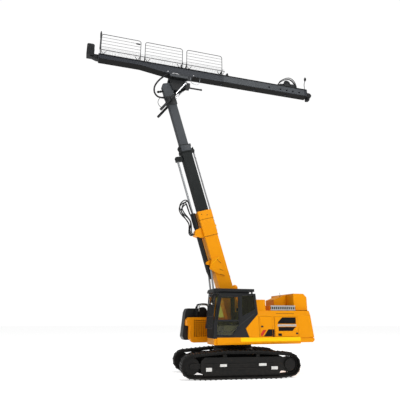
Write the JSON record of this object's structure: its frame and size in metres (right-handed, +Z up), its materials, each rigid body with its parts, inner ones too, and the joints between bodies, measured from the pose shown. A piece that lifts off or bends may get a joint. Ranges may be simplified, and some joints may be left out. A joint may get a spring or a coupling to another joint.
{
  "type": "crawler rig with a telescopic boom and a level mast beam",
  "caption": "Tracked slewing carrier with cab, telescopic boom of three stages and a long level mast beam with walkway and guard rails on its head.",
  "frame": {"origin": "middle of the bounding box's bottom face, on the ground between the tracks; the slew axis is 1.154 m behind it", "axes": "+X forward, the way the cab looks, +Y to the machine's left, +Z up"},
  "size_m": [13.03, 3.8223, 16.8006],
  "materials": {
    "track": "dark worn steel",
    "undercarriage": "satin black",
    "yellow_paint": "gloss orange-yellow",
    "engine_grey": "matt",
    "cab_black": "satin black",
    "cab_plastic": "matt",
    "seat_cloth": "woven",
    "glass": "tinted clear",
    "boom_grey": "satin dark grey",
    "black_paint": "satin black",
    "chrome": "polished",
    "beam_grey": "satin blue-black",
    "rail_grey": "galvanised, dark"
  },
  "bodies": {
    "carrier": {"track_left": "track", "track_right": "track", "track_frame_left": "undercarriage", "track_frame_right": "undercarriage", "rollers": "undercarriage", "idlers": "undercarriage", "sprockets": "undercarriage", "centre_frame": "undercarriage", "slew_ring": "undercarriage"},
    "house": {"deck": "yellow_paint", "counterweight": "yellow_paint", "hood": "yellow_paint", "left_cabinet": "yellow_paint", "right_tanks": "yellow_paint", "front_box": "yellow_paint", "front_cover": "cab_black", "air_intake": "yellow_paint", "tail_cover": "yellow_paint", "engine": "engine_grey", "cab_frame": "cab_black", "cab_glass": "glass", "visor": "cab_black", "seat": "seat_cloth", "consoles": "cab_plastic"},
    "hood_lid": {"hood_lid": "yellow_paint"},
    "door_left_front": {"door_left_front": "yellow_paint"},
    "door_left_rear": {"door_left_rear": "yellow_paint"},
    "door_right": {"door_right": "yellow_paint"},
    "cab_door": {"cab_door": "cab_black", "cab_door_glass": "glass"},
    "boom_base": {"boom_base": "yellow_paint", "telescope_barrel": "black_paint"},
    "boom_second": {"boom_second": "boom_grey", "telescope_rod": "chrome"},
    "boom_third": {"boom_third": "boom_grey", "boom_head": "black_paint"},
    "lift_barrels": {"lift_barrels": "yellow_paint"},
    "lift_rods": {"lift_rods": "chrome"},
    "tilt_barrel": {"tilt_barrel": "black_paint"},
    "tilt_rod": {"tilt_rod": "chrome"},
    "mast": {"mast_bracket": "beam_grey", "mast_beam": "beam_grey", "beam_heads": "black_paint", "walkway": "beam_grey", "railings": "rail_grey"}
  },
  "joints": [
    {"name": "house_slew", "type": "hinge", "parent": "carrier", "child": "house", "pos_m": [-1.15435, 0, 1.17], "axis": [0, 0, 1], "continuous": true},
    {"name": "hood_lid_hinge", "type": "hinge", "parent": "house", "child": "hood_lid", "pos_m": [-3.12535, 0, 2.769], "axis": [0, 1, 0], "range_deg": [0, 50]},
    {"name": "door_left_front_hinge", "type": "hinge", "parent": "house", "child": "door_left_front", "pos_m": [-1.90235, 1.5, 1.66], "axis": [0, 0, -1], "range_deg": [0, 100]},
    {"name": "door_left_rear_hinge", "type": "hinge", "parent": "house", "child": "door_left_rear", "pos_m": [-2.61235, 1.5, 1.66], "axis": [0, 0, -1], "range_deg": [0, 100]},
    {"name": "door_right_hinge", "type": "hinge", "parent": "house", "child": "door_right", "pos_m": [-2.61235, -1.5, 1.66], "axis": [0, 0, 1], "range_deg": [0, 100]},
    {"name": "cab_door_hinge", "type": "hinge", "parent": "house", "child": "cab_door", "pos_m": [-0.96135, 1.5, 1.68], "axis": [0, 0, 1], "range_deg": [0, 110]},
    {"name": "boom_luff", "type": "hinge", "parent": "house", "child": "boom_base", "pos_m": [-1.29435, 0, 2.15], "axis": [0, 1, 0], "range_deg": [-6.3, 53.7]},
    {"name": "stage_2_slide", "type": "slide", "parent": "boom_base", "child": "boom_second", "axis": [0.2807, 0, 0.9598], "range_m": [-2.7, 0]},
    {"name": "stage_3_slide", "type": "slide", "parent": "boom_second", "child": "boom_third", "axis": [0.2807, 0, 0.9598], "range_m": [-2.25, 0]},
    {"name": "mast_tilt", "type": "hinge", "parent": "boom_third", "child": "mast", "pos_m": [2.015, 0, 14.40058], "axis": [0, 1, 0], "range_deg": [-25, 40]},
    {"name": "lift_barrel_pivot", "type": "hinge", "parent": "house", "child": "lift_barrels", "pos_m": [-0.42435, 0, 1.5], "axis": [0, 1, 0], "range_deg": [-6.1, 51.6]},
    {"name": "lift_rod_slide", "type": "slide", "parent": "lift_barrels", "child": "lift_rods", "axis": [0.1102, 0, 0.9939], "range_m": [-0.9392, 0.112]},
    {"name": "tilt_barrel_pivot", "type": "hinge", "parent": "boom_third", "child": "tilt_barrel", "pos_m": [2.0407, 0, 13.44809], "axis": [0, 1, 0], "range_deg": [-9.7, 15.49]},
    {"name": "tilt_rod_slide", "type": "slide", "parent": "tilt_barrel", "child": "tilt_rod", "axis": [-0.5878, 0, 0.809], "range_m": [-0.2175, 0.3469]}
  ],
  "couplings": [
    {"joint": "lift_barrel_pivot", "follows": "boom_luff", "ratio": 0.96},
    {"joint": "lift_rod_slide", "follows": "boom_luff", "m_per_rad": -1},
    {"joint": "tilt_barrel_pivot", "follows": "mast_tilt", "ratio": 0.386},
    {"joint": "tilt_rod_slide", "follows": "mast_tilt", "m_per_rad": 0.494}
  ]
}
